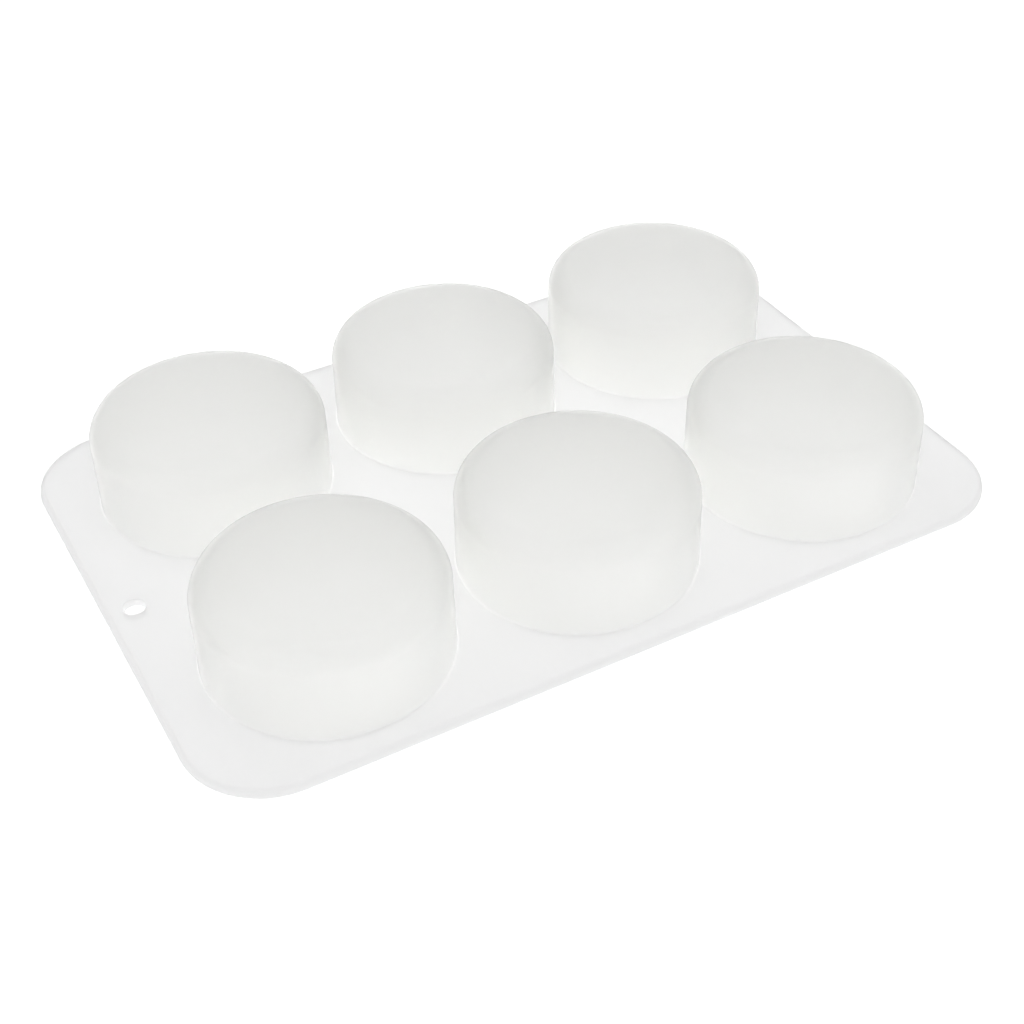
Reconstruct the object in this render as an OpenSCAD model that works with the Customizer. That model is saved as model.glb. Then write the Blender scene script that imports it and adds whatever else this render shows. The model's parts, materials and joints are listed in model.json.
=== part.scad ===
// Six-cavity round silicone soap mould, lying on its flange with its cups upwards.
// The origin is on the underside of the flange, at the middle, with X along the three columns of cups.
// The moulding is divided where its shape and its stiffness change: flange, rim, and for each cup
// the side wall, the rounded shoulder, the ring that flexes and the floor that a thumb pushes in.

/* [Flange] */
// Length of the flange
flange_l = 280; // [275:1:320]
// Width of the flange
flange_w = 185; // [182:1:220]
// Thickness of the flange
flange_t = 2.8; // [2.6:0.1:4]
// Radius of the flange's corners, seen from above
corner_r = 27; // [12:1:28]
// Width of the rim around the flange
rim_w = 4; // [3:0.1:4]
// Radius of the rim's upper edge
rim_top_r = 2; // [0.5:0.1:2]
// Radius of the rim's lower edge
rim_bottom_r = 0.5; // [0.2:0.1:0.5]

/* [Cups] */
// Distance between the columns of cups
pitch_x = 86; // [82:1:87]
// Distance between the rows of cups
pitch_y = 91; // [82:1:93]
// Height of the cups over the surface that the flange lies on
cup_h = 34; // [25:1:60]
// Outer diameter of a cup at its foot
cup_foot_d = 77; // [70:0.5:77]
// Outer diameter of a cup just under its shoulder
cup_top_d = 76.5; // [68:0.5:76.5]
// Thickness of the wall and of the closed end
wall_t = 2; // [1.5:0.1:3]
// Outer radius between the wall and the closed end
shoulder_r = 8; // [4:0.5:10]
// Radius of the fillet where the wall meets the flange
foot_r = 0.5; // [0.5:0.5:2]
// Radius of the edge around the cup's mouth
mouth_r = 1; // [0.5:0.1:1.4]

/* [Push-out floor] */
// Diameter of the part of the closed end that a thumb pushes in
floor_d = 40; // [24:1:44]

/* [Hang hole] */
// Diameter of the hole that the mould hangs by
hang_hole_d = 7; // [4:0.5:8]
// Distance from the flange's end to the middle of the hole
hang_hole_inset = 9.3; // [9:0.1:12]

/* [Hidden] */
$fn = 96;
COLUMNS = 3;
ROWS = 2;
CUPS = [for (i = [1:COLUMNS * ROWS]) i];
SILICONE = [0.93, 0.93, 0.92];
SHOULDER_SHADE = [0.88, 0.89, 0.87];
FLOOR_SHADE = [0.9, 0.91, 0.9];

foot_radius = cup_foot_d / 2;
top_radius = cup_top_d / 2;
mouth_radius = foot_radius - wall_t;
flat_radius = top_radius - shoulder_r;
shoulder_z = cup_h - shoulder_r;

// The middle of cup i: cups 1 to 3 are the front row, 4 to 6 the back row, each from left to right.
function cup_centre(i) = [
    ((i - 1) % COLUMNS - (COLUMNS - 1) / 2) * pitch_x,
    (floor((i - 1) / COLUMNS) - (ROWS - 1) / 2) * pitch_y,
    0
];

module rounded_rectangle(l, w, r) {
    square([l - 2 * r, w], center = true);
    square([l, w - 2 * r], center = true);
    for (x = [-1, 1], y = [-1, 1])
        translate([x * (l / 2 - r), y * (w / 2 - r)])
            circle(r);
}

// The flat plate between the rim and the cups, with the hang hole near its left end
module flange() {
    color(SILICONE)
        linear_extrude(flange_t)
            difference() {
                rounded_rectangle(flange_l - 2 * rim_w, flange_w - 2 * rim_w, corner_r - rim_w);
                for (i = CUPS)
                    translate(cup_centre(i))
                        circle(foot_radius);
                translate([-flange_l / 2 + hang_hole_inset, 0])
                    circle(d = hang_hole_d);
            }
}

// The rim's cross-section: x runs outwards from the flange's plate, y is the height.
module rim_section() {
    square([rim_w - rim_top_r, flange_t]);
    square([rim_w - rim_bottom_r, flange_t - rim_top_r]);
    translate([0, rim_bottom_r])
        square([rim_w, flange_t - rim_top_r - rim_bottom_r]);
    translate([rim_w - rim_bottom_r, rim_bottom_r])
        circle(rim_bottom_r);
    intersection() {
        translate([rim_w - rim_top_r, flange_t - rim_top_r])
            circle(rim_top_r);
        square([rim_w, flange_t]);
    }
}

// A straight run of rim of length l along Y, with its outer face on the +X side
module rim_run(l) {
    rotate([90, 0, 0])
        linear_extrude(l, center = true)
            rim_section();
}

// The rounded-over border all round the flange
module rim() {
    inner_l = flange_l / 2 - rim_w;
    inner_w = flange_w / 2 - rim_w;
    color(SILICONE) {
        for (side = [0, 180])
            rotate(side) {
                translate([inner_l, 0, 0])
                    rim_run(flange_w - 2 * corner_r);
                rotate(90)
                    translate([inner_w, 0, 0])
                        rim_run(flange_l - 2 * corner_r);
            }
        for (turn = [0:3]) {
            x_side = turn == 0 || turn == 3 ? 1 : -1;
            y_side = turn < 2 ? 1 : -1;
            translate([x_side * (flange_l / 2 - corner_r), y_side * (flange_w / 2 - corner_r), 0])
                rotate(90 * turn)
                    rotate_extrude(angle = 90)
                        translate([corner_r - rim_w, 0])
                            rim_section();
        }
    }
}

// The side wall, from the mouth's edge up to the shoulder, with the fillet at its foot
module cup_wall(i) {
    color(SILICONE)
        translate(cup_centre(i))
            rotate_extrude() {
                difference() {
                    polygon([
                        [mouth_radius, 0],
                        [foot_radius, 0],
                        [foot_radius, flange_t + foot_r],
                        [top_radius, shoulder_z],
                        [top_radius - wall_t, shoulder_z],
                        [mouth_radius, mouth_r]
                    ]);
                    difference() {
                        square([mouth_radius + mouth_r, mouth_r]);
                        translate([mouth_radius + mouth_r, mouth_r])
                            circle(mouth_r);
                    }
                }
                difference() {
                    translate([foot_radius - wall_t / 2, flange_t])
                        square([foot_r + wall_t / 2, foot_r]);
                    translate([foot_radius + foot_r, flange_t + foot_r])
                        circle(foot_r);
                }
            }
}

// The rounded corner between the side wall and the closed end
module cup_shoulder(i) {
    color(SHOULDER_SHADE)
        translate(cup_centre(i))
            rotate_extrude()
                translate([flat_radius, shoulder_z])
                    intersection() {
                        difference() {
                            circle(shoulder_r);
                            circle(shoulder_r - wall_t);
                        }
                        square(shoulder_r);
                    }
}

// A flat ring or disc in the closed end, between two radii
module closed_end(i, inner, outer) {
    translate(cup_centre(i) + [0, 0, cup_h - wall_t])
        linear_extrude(wall_t)
            difference() {
                circle(outer);
                if (inner > 0)
                    circle(inner);
            }
}

// The ring of the closed end that stretches when the floor is pushed in
module cup_flex_ring(i) {
    color(SHOULDER_SHADE)
        closed_end(i, floor_d / 2, flat_radius);
}

// The middle of the closed end, which a thumb pushes in to free the soap
module cup_floor(i) {
    color(FLOOR_SHADE)
        closed_end(i, 0, floor_d / 2);
}

flange();
rim();
for (i = CUPS) {
    cup_wall(i);
    cup_shoulder(i);
    cup_flex_ring(i);
    cup_floor(i);
}
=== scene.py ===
import json
import math

import bmesh
import bpy
import numpy as np
from mathutils import Matrix, Vector, geometry


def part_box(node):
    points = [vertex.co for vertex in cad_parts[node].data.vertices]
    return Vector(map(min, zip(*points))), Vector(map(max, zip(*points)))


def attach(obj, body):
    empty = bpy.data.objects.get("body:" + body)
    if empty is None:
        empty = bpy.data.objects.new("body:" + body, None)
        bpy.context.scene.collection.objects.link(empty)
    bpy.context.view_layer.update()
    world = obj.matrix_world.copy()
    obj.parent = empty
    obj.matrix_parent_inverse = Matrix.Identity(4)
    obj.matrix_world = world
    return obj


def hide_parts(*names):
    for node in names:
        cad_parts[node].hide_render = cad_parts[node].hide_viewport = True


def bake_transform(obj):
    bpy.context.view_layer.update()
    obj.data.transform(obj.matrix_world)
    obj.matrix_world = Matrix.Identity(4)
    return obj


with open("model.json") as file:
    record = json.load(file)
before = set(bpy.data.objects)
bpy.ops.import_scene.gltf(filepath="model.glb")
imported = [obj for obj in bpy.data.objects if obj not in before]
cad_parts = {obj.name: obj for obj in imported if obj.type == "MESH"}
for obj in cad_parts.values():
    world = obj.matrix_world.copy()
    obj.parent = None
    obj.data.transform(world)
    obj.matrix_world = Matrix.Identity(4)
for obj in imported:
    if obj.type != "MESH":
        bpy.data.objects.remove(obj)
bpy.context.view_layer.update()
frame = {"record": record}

# ---------------------------------------------------------------- sizes, in metres
CUPS = range(1, 7)
RIM_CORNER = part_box("rim")[1]
HALF_LENGTH = RIM_CORNER.x
HALF_WIDTH = RIM_CORNER.y
FLANGE_TOP = RIM_CORNER.z
CORNER_RADIUS = 0.027  # of the flange, seen from above
CORNER_STEPS = 20
LONG_SIDE_STEPS, SHORT_SIDE_STEPS = 28, 16
RIM_TOP_RADIUS = 0.002
RIM_BOTTOM_RADIUS = 0.0005

FOOT_FILLET = 0.0005  # where a cup's wall meets the flange
MOUTH_EDGE_RADIUS = 0.001
CROWN = 0.0003  # how far the middle of a closed end stands above its edge
SEGMENTS = 144  # round each cup
TOUCH = 0.0001  # for telling a face within the flange from one on its surface

HANG_HOLE = next(m for m in frame["record"]["mounts"] if m["name"] == "hang_hole")
HANG_HOLE_RADIUS = HANG_HOLE["dims"]["r_mm"] / 1000
HANG_HOLE_EDGE = 0.0002
HANG_HOLE_SEGMENTS = 48

# Painted shade: the flange is the same silicone as the cups, given a darker colour to hold it down under
# the light from the glowing floor. The spread from clear to cloudy is the silicone's own.
FLANGE_CLEAR_PAINTED_SHADE = (0.91, 0.91, 0.91)
FLANGE_CLOUDY_PAINTED_SHADE = (0.89, 0.89, 0.89)


# ---------------------------------------------------------------- curves and meshes
SAME_POINT = 1e-7


def arc(centre, radius, start, end, steps):
    """Points on an arc, from start to end in degrees."""
    angles = [math.radians(start + (end - start) * k / steps) for k in range(steps + 1)]
    return [(centre[0] + radius * math.cos(a), centre[1] + radius * math.sin(a)) for a in angles]


def line(a, b, steps):
    return [(a[0] + (b[0] - a[0]) * k / steps, a[1] + (b[1] - a[1]) * k / steps) for k in range(steps + 1)]


def joined(*runs):
    """One list of points from several runs, without the points that two runs share."""
    out = []
    for run in runs:
        for p in run:
            if not out or math.dist(p, out[-1]) > SAME_POINT:
                out.append(p)
    return out


def new_object(name, verts, faces):
    mesh = bpy.data.meshes.new(name)
    mesh.from_pydata([tuple(v) for v in verts], [], faces)
    mesh.validate()
    bm = bmesh.new()
    bm.from_mesh(mesh)
    bmesh.ops.remove_doubles(bm, verts=bm.verts, dist=SAME_POINT)
    bmesh.ops.recalc_face_normals(bm, faces=bm.faces)
    bm.to_mesh(mesh)
    bm.free()
    mesh.shade_smooth()
    mesh.set_sharp_from_angle(angle=math.radians(35))
    obj = bpy.data.objects.new(name, mesh)
    bpy.context.scene.collection.objects.link(obj)
    return obj


# ---------------------------------------------------------------- cups
def cup_radii():
    """The outer radius of a cup at its toe on the flange and above the fillet."""
    low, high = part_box("cup_1_wall")
    toe = (high.x - low.x) / 2
    return toe, toe - FOOT_FILLET


def closed_end(radius, height, steps=24):
    """Half of a closed end's section, from its middle to its edge, a little crowned."""
    return [(radius * k / steps, height + CROWN * (1 - (k / steps) ** 2)) for k in range(steps + 1)]


def cup_section(i):
    """The cup's closed section as (radius, height), from the middle outside round to the middle inside."""
    toe, foot = cup_radii()
    shoulder_low, shoulder_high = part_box(f"cup_{i}_shoulder")
    ring_low, ring_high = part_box(f"cup_{i}_flex_ring")
    top = (shoulder_high.x - shoulder_low.x) / 2
    height = shoulder_high.z
    thick = ring_high.z - ring_low.z
    bend_radius = shoulder_high.z - shoulder_low.z
    flat = top - bend_radius
    bend = height - bend_radius
    mouth = foot - thick
    edge = MOUTH_EDGE_RADIUS
    outside = joined(
        closed_end(flat, height),
        arc((flat, bend), bend_radius, 90, 0, 16),
        line((top, bend), (foot, FLANGE_TOP + FOOT_FILLET), 14),
        arc((toe, FLANGE_TOP + FOOT_FILLET), FOOT_FILLET, 180, 270, 8),
    )
    under = joined(
        line((toe, FLANGE_TOP), (foot, 0.0), 2),
        arc((mouth + edge, edge), edge, 270, 180, 5),
    )
    inside = joined(
        line((mouth, edge), (top - thick, bend), 16),
        arc((flat, bend), bend_radius - thick, 0, 90, 12),
        closed_end(flat, height - thick)[::-1],
    )
    return joined(outside, under, inside), flat


def cup_centre(i):
    low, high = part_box(f"cup_{i}_floor")
    return (low + high) / 2


def lathe(name, section, centre):
    """A closed surface of revolution whose section starts and ends on the axis."""
    angles = [2 * math.pi * k / SEGMENTS for k in range(SEGMENTS)]
    verts = [(centre.x, centre.y, section[0][1])]
    for r, z in section[1:-1]:
        verts += [(centre.x + r * math.cos(a), centre.y + r * math.sin(a), z) for a in angles]
    verts.append((centre.x, centre.y, section[-1][1]))
    rings = len(section) - 2
    faces = [(0, 1 + k, 1 + (k + 1) % SEGMENTS) for k in range(SEGMENTS)]
    for j in range(rings - 1):
        for k in range(SEGMENTS):
            a = 1 + j * SEGMENTS + k
            b = 1 + j * SEGMENTS + (k + 1) % SEGMENTS
            faces.append((a, a + SEGMENTS, b + SEGMENTS, b))
    last = 1 + (rings - 1) * SEGMENTS
    faces += [(last + k, len(verts) - 1, last + (k + 1) % SEGMENTS) for k in range(SEGMENTS)]
    return new_object(name, verts, faces)


def bend_closed_end(cup):
    """Bakes the cup's placement into its mesh.
    """
    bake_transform(cup)


def make_cup(i, material, seam):
    section, flat = cup_section(i)
    centre = cup_centre(i)
    cup = lathe(f"cup_{i}_skin", section, centre)
    cup.data.materials.append(material)
    cup.data.materials.append(seam)
    mark_seam(cup, [centre], nearest=cup_radii()[1] - FOOT_FILLET)
    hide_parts(*(f"cup_{i}_{part}" for part in ("wall", "shoulder", "flex_ring", "floor")))
    bend_closed_end(cup)


# ---------------------------------------------------------------- flange
def outline(inset, z):
    """The flange's rounded outline, moved inwards by inset, with the same number of points at any inset."""
    radius = CORNER_RADIUS - inset
    corners = []
    for turn, (sx, sy) in enumerate(((1, 1), (-1, 1), (-1, -1), (1, -1))):
        middle = (sx * (HALF_LENGTH - CORNER_RADIUS), sy * (HALF_WIDTH - CORNER_RADIUS))
        corners.append(arc(middle, radius, 90 * turn, 90 * turn + 90, CORNER_STEPS))
    points = []
    for turn, corner in enumerate(corners):
        steps = SHORT_SIDE_STEPS if turn % 2 else LONG_SIDE_STEPS
        points += corner
        points += line(corner[-1], corners[(turn + 1) % 4][0], steps)[1:-1]
    return [(x, y, z) for x, y in points]


def circle(centre, radius, z, count):
    angles = [2 * math.pi * k / count for k in range(count)]
    return [(centre[0] + radius * math.cos(a), centre[1] + radius * math.sin(a), z) for a in angles]


def band(rings):
    """Quads between closed rings of equal length."""
    verts = [p for ring in rings for p in ring]
    n = len(rings[0])
    faces = []
    for j in range(len(rings) - 1):
        for k in range(n):
            a, b = j * n + k, j * n + (k + 1) % n
            faces.append((a, b, b + n, a + n))
    return verts, faces


def inside_outline(x, y, inset):
    dx = abs(x) - (HALF_LENGTH - CORNER_RADIUS)
    dy = abs(y) - (HALF_WIDTH - CORNER_RADIUS)
    if dx > 0 and dy > 0:
        return math.hypot(dx, dy) < CORNER_RADIUS - inset
    return abs(x) < HALF_LENGTH - inset and abs(y) < HALF_WIDTH - inset


def plate(z, inset, holes, spacing=0.004):
    """A flat triangulated face at height z inside the outline, with round holes (centre, radius, count)."""
    points, edges = [], []
    for loop in [outline(inset, z)] + [circle(c, r, z, n) for c, r, n in holes]:
        base = len(points)
        points += [Vector(p[:2]) for p in loop]
        edges += [(base + k, base + (k + 1) % len(loop)) for k in range(len(loop))]
    margin = 0.6 * spacing  # between the grid and the edges, so that no triangle is a sliver
    nx, ny = int(2 * HALF_LENGTH / spacing), int(2 * HALF_WIDTH / spacing)
    for a in range(nx + 1):
        for b in range(ny + 1):
            x = -HALF_LENGTH + 2 * HALF_LENGTH * a / nx + (spacing / 2 if b % 2 else 0)
            y = -HALF_WIDTH + 2 * HALF_WIDTH * b / ny
            clear = all(math.hypot(x - c[0], y - c[1]) > r + margin for c, r, _ in holes)
            if clear and inside_outline(x, y, inset + margin):
                points.append(Vector((x, y)))
    verts, _, faces, _, _, _ = geometry.delaunay_2d_cdt(points, edges, [], 0, 1e-9)
    kept = []
    for face in faces:
        x = sum(verts[k].x for k in face) / len(face)
        y = sum(verts[k].y for k in face) / len(face)
        in_hole = any(math.hypot(x - c[0], y - c[1]) < r * math.cos(math.pi / n) for c, r, n in holes)
        if inside_outline(x, y, inset) and not in_hole:
            kept.append(tuple(face))
    return [(v.x, v.y, z) for v in verts], kept


def make_flange(material, seam):
    centres = [cup_centre(i) for i in CUPS]
    toe, foot = cup_radii()
    hang = HANG_HOLE["pos_m"]
    edge = HANG_HOLE_EDGE
    hang_rim = (hang, HANG_HOLE_RADIUS + edge, HANG_HOLE_SEGMENTS)
    rim = joined(
        arc((RIM_TOP_RADIUS, FLANGE_TOP - RIM_TOP_RADIUS), RIM_TOP_RADIUS, 90, 180, 8),
        arc((RIM_BOTTOM_RADIUS, RIM_BOTTOM_RADIUS), RIM_BOTTOM_RADIUS, 180, 270, 4),
    )
    bore = joined(
        arc((HANG_HOLE_RADIUS + edge, FLANGE_TOP - edge), edge, 90, 180, 4),
        arc((HANG_HOLE_RADIUS + edge, edge), edge, 180, 270, 4),
    )
    parts = [
        plate(FLANGE_TOP, RIM_TOP_RADIUS, [(c, toe, SEGMENTS) for c in centres] + [hang_rim]),
        plate(0.0, RIM_BOTTOM_RADIUS, [(c, foot, SEGMENTS) for c in centres] + [hang_rim]),
        band([outline(inset, z) for inset, z in rim]),
        band([circle(hang, r, z, HANG_HOLE_SEGMENTS) for r, z in bore]),
    ]
    for c in centres:
        parts.append(band([circle(c, r, z, SEGMENTS) for r, z in line((toe, FLANGE_TOP), (foot, 0.0), 2)]))
    verts, faces = [], []
    for part_verts, part_faces in parts:
        base = len(verts)
        verts += part_verts
        faces += [tuple(base + k for k in face) for face in part_faces]
    flange = new_object("flange_skin", verts, faces)
    flange.data.materials.append(material)
    flange.data.materials.append(seam)
    mark_seam(flange, centres, nearest=0.0, farthest=toe)
    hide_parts("flange", "rim")
    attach(flange, "moulding")


def mark_seam(piece, centres, nearest, farthest=1.0):
    """Gives the second material to the faces within the flange's thickness where flange and cup meet."""
    for face in piece.data.polygons:
        x, y, z = face.center
        r = min(math.hypot(x - c.x, y - c.y) for c in centres)
        if TOUCH < z < FLANGE_TOP - TOUCH and nearest < r < farthest:
            face.material_index = 1


# ---------------------------------------------------------------- material
def noise_texture(tree, coordinates, scale, detail):
    node = tree.nodes.new("ShaderNodeTexNoise")
    node.inputs["Scale"].default_value = scale
    node.inputs["Detail"].default_value = detail
    tree.links.new(coordinates.outputs["Object"], node.inputs["Vector"])
    return node


def map_range(tree, source, from_range, to_range, name):
    node = tree.nodes.new("ShaderNodeMapRange")
    node.name = name
    node.interpolation_type = "SMOOTHSTEP"
    node.inputs["From Min"].default_value, node.inputs["From Max"].default_value = from_range
    node.inputs["To Min"].default_value, node.inputs["To Max"].default_value = to_range
    tree.links.new(source, node.inputs["Value"])
    return node.outputs["Result"]


def colour_mix(tree, factor, a, b, name):
    """A node that mixes two colours, each a tuple or another node's output."""
    node = tree.nodes.new("ShaderNodeMix")
    node.name = name
    node.data_type = "RGBA"
    tree.links.new(factor, node.inputs["Factor"])
    for key, colour in (("A", a), ("B", b)):
        if isinstance(colour, tuple):
            node.inputs[key].default_value = (*colour, 1)
        else:
            tree.links.new(colour, node.inputs[key])
    return node.outputs["Result"]


def bump(tree, source, strength, distance, before=None):
    node = tree.nodes.new("ShaderNodeBump")
    node.inputs["Strength"].default_value = strength
    node.inputs["Distance"].default_value = distance
    tree.links.new(source, node.inputs["Height"])
    if before is not None:
        tree.links.new(before, node.inputs["Normal"])
    return node.outputs["Normal"]


def silicone(name, clear, cloudy, transmission):
    """Frosted silicone, a little cloudy, with a fine matt grain.

    It has the flange's darker colour, painted shade, up to a cup's foot, and its own above that, so the
    painted shade also darkens the fillet at the foot.
    """
    material = bpy.data.materials.new(name)
    material.use_nodes = True
    tree = material.node_tree
    skin = tree.nodes["Principled BSDF"]
    skin.inputs["IOR"].default_value = 1.2
    skin.inputs["Transmission Weight"].default_value = transmission
    coordinates = tree.nodes.new("ShaderNodeTexCoord")
    place = tree.nodes.new("ShaderNodeSeparateXYZ")
    tree.links.new(coordinates.outputs["Object"], place.inputs[0])

    # Painted shade: below a cup's foot the colour goes over to the flange's darker tint.
    foot = (FLANGE_TOP - FOOT_FILLET, FLANGE_TOP + FOOT_FILLET)
    painted_shade_fade = map_range(tree, place.outputs["Z"], foot, (0, 1), "painted_shade_fade")
    clouds = noise_texture(tree, coordinates, 26, 3)
    low = colour_mix(tree, clouds.outputs["Fac"], FLANGE_CLOUDY_PAINTED_SHADE, FLANGE_CLEAR_PAINTED_SHADE, "low")
    high = colour_mix(tree, clouds.outputs["Fac"], cloudy, clear, "high")
    tint_and_painted_shade = colour_mix(tree, painted_shade_fade, low, high, "tint_and_painted_shade")
    tree.links.new(tint_and_painted_shade, skin.inputs["Base Color"])

    polish = noise_texture(tree, coordinates, 60, 4)
    roughness = map_range(tree, polish.outputs["Fac"], (0.3, 0.7), (0.68, 0.78), "polish")
    tree.links.new(roughness, skin.inputs["Roughness"])

    waves = noise_texture(tree, coordinates, 45, 1)
    grain = noise_texture(tree, coordinates, 2600, 2)
    broad = bump(tree, waves.outputs["Fac"], 0.3, 0.0004)
    fine = bump(tree, grain.outputs["Fac"], 0.35, 0.00003, broad)
    tree.links.new(fine, skin.inputs["Normal"])
    return material


def hidden_seam():
    """For faces inside the silicone, where a cup's skin meets the flange's: light passes through."""
    material = bpy.data.materials.new("hidden_seam")
    material.use_nodes = True
    material.node_tree.nodes["Principled BSDF"].inputs["Alpha"].default_value = 0
    return material


# ---------------------------------------------------------------- stage
def make_floor():
    """A white table that glows a little, as under a white sweep lit from behind."""
    bpy.ops.mesh.primitive_plane_add(size=12)
    floor = bpy.context.object
    floor.name = "floor"
    material = bpy.data.materials.new("floor")
    material.use_nodes = True
    shader = material.node_tree.nodes["Principled BSDF"]
    shader.inputs["Base Color"].default_value = (0.4, 0.4, 0.4, 1)
    shader.inputs["Roughness"].default_value = 1.0
    shader.inputs["Emission Color"].default_value = (1, 1, 1, 1)
    shader.inputs["Emission Strength"].default_value = 0.81
    floor.data.materials.append(material)


def make_lights():
    """A soft white dome that is brighter overhead than at the horizon, in front of a white backdrop."""
    horizon, zenith = 0.3, 1.16
    world = bpy.data.worlds.new("studio")
    world.use_nodes = True
    bpy.context.scene.world = world
    tree = world.node_tree
    background = tree.nodes["Background"]
    background.inputs["Color"].default_value = (1, 1, 1, 1)
    direction = tree.nodes.new("ShaderNodeTexCoord")
    split = tree.nodes.new("ShaderNodeSeparateXYZ")
    tree.links.new(direction.outputs["Generated"], split.inputs[0])
    lobe = tree.nodes.new("ShaderNodeMath")
    lobe.operation = "MULTIPLY"
    tree.links.new(split.outputs["Z"], lobe.inputs[0])
    tree.links.new(split.outputs["Z"], lobe.inputs[1])
    dome = tree.nodes.new("ShaderNodeMapRange")
    dome.name = "dome"
    dome.inputs["To Min"].default_value = horizon
    dome.inputs["To Max"].default_value = zenith
    tree.links.new(lobe.outputs[0], dome.inputs["Value"])
    path = tree.nodes.new("ShaderNodeLightPath")
    seen = tree.nodes.new("ShaderNodeMix")
    seen.inputs["B"].default_value = 1.0
    tree.links.new(path.outputs["Is Camera Ray"], seen.inputs["Factor"])
    tree.links.new(dome.outputs["Result"], seen.inputs["A"])
    tree.links.new(seen.outputs["Result"], background.inputs["Strength"])


def let_light_through():
    """Enough bounces for light to cross several layers of silicone."""
    cycles = bpy.context.scene.cycles
    cycles.max_bounces = 32
    cycles.transmission_bounces = 32
    cycles.diffuse_bounces = 16


def make_camera():
    azimuth, elevation, roll = (math.radians(d) for d in (-27.99, 38.96, -1.42))
    target = Vector((-0.0067, -0.0149, 0))
    distance = 0.5459
    back = Vector(
        (
            math.sin(azimuth) * math.cos(elevation),
            -math.cos(azimuth) * math.cos(elevation),
            math.sin(elevation),
        )
    )
    level = Vector((0, 0, 1)).cross(back).normalized()
    steep = back.cross(level)
    right = math.cos(roll) * level + math.sin(roll) * steep
    up = math.cos(roll) * steep - math.sin(roll) * level
    data = bpy.data.cameras.new("camera")
    data.sensor_width = 36
    data.lens = 58.39
    camera = bpy.data.objects.new("camera", data)
    turn = Matrix((right, up, back)).transposed()
    camera.matrix_world = Matrix.Translation(target + back * distance) @ turn.to_4x4()
    bpy.context.scene.collection.objects.link(camera)
    bpy.context.scene.camera = camera


make_camera()
make_floor()
make_lights()
let_light_through()
bpy.context.scene.view_settings.view_transform = "Standard"
# The flange's silicone is a darker copy of the cups' silicone: painted shade.
FLANGE_SILICONE = silicone("flange_silicone", FLANGE_CLEAR_PAINTED_SHADE, FLANGE_CLOUDY_PAINTED_SHADE, transmission=0.37)
CUP_SILICONE = silicone("cup_silicone", (0.98, 0.981, 0.972), (0.96, 0.961, 0.952), transmission=0.53)
SEAM = hidden_seam()
make_flange(FLANGE_SILICONE, SEAM)
for number in CUPS:
    make_cup(number, CUP_SILICONE, SEAM)
